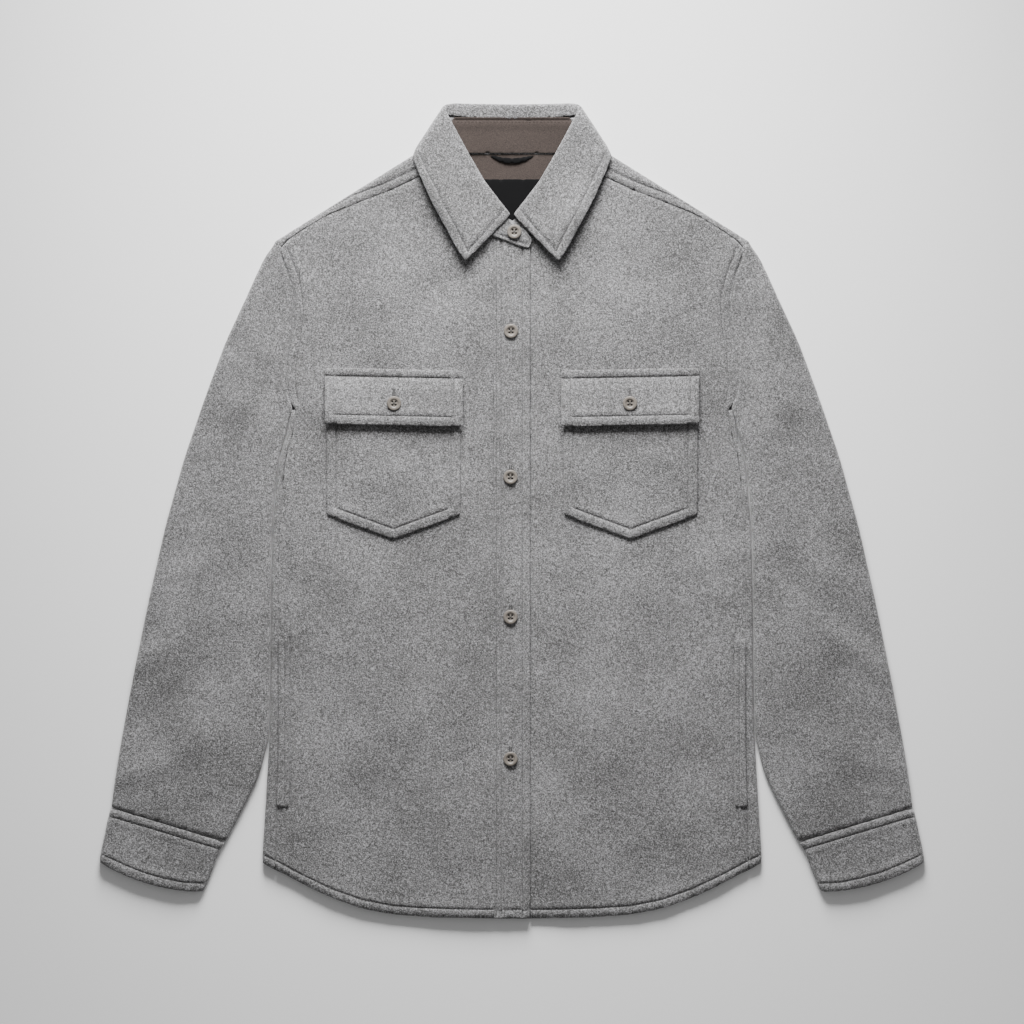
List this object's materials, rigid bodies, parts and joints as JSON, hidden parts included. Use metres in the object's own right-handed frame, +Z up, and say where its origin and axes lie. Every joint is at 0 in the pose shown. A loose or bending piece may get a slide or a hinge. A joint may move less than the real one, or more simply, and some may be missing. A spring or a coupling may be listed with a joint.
{
  "type": "shacket",
  "caption": "Wool shirt jacket laid flat, front up, with a shirt collar, buttoned placket, flap chest pockets, side pocket welts and cuffed sleeves.",
  "frame": {"origin": "middle of the outline's box, on the surface that the garment lies on", "axes": "+Z up out of the garment's front, +Y towards the collar, +X to the wearer's left"},
  "size_m": [0.8236, 0.8153, 0.0168],
  "materials": {
    "wool": "napped heathered mid-grey wool, matt",
    "facing": "plain taupe brown cotton, matt",
    "tape": "plain black woven tape",
    "button": "taupe grey horn-like resin, soft gloss"
  },
  "bodies": {
    "root": {"back": "wool", "yoke": "wool", "front_right": "wool", "front_left": "wool", "placket_under": "wool", "placket_over": "wool", "sleeve_right": "wool", "sleeve_left": "wool", "cuff_right": "wool", "cuff_left": "wool", "collar_fall": "wool", "collar_stand": "wool", "pocket_right": "wool", "pocket_left": "wool", "flap_right": "wool", "flap_left": "wool", "side_welt_right": "wool", "side_welt_left": "wool", "stand_facing": "facing", "yoke_lining": "facing", "neck_label": "tape", "hanger_loop": "tape", "button_placket_1": "button", "button_placket_2": "button", "button_placket_3": "button", "button_placket_4": "button", "button_stand": "button", "button_flap_right": "button", "button_flap_left": "button"}
  },
  "joints": []
}
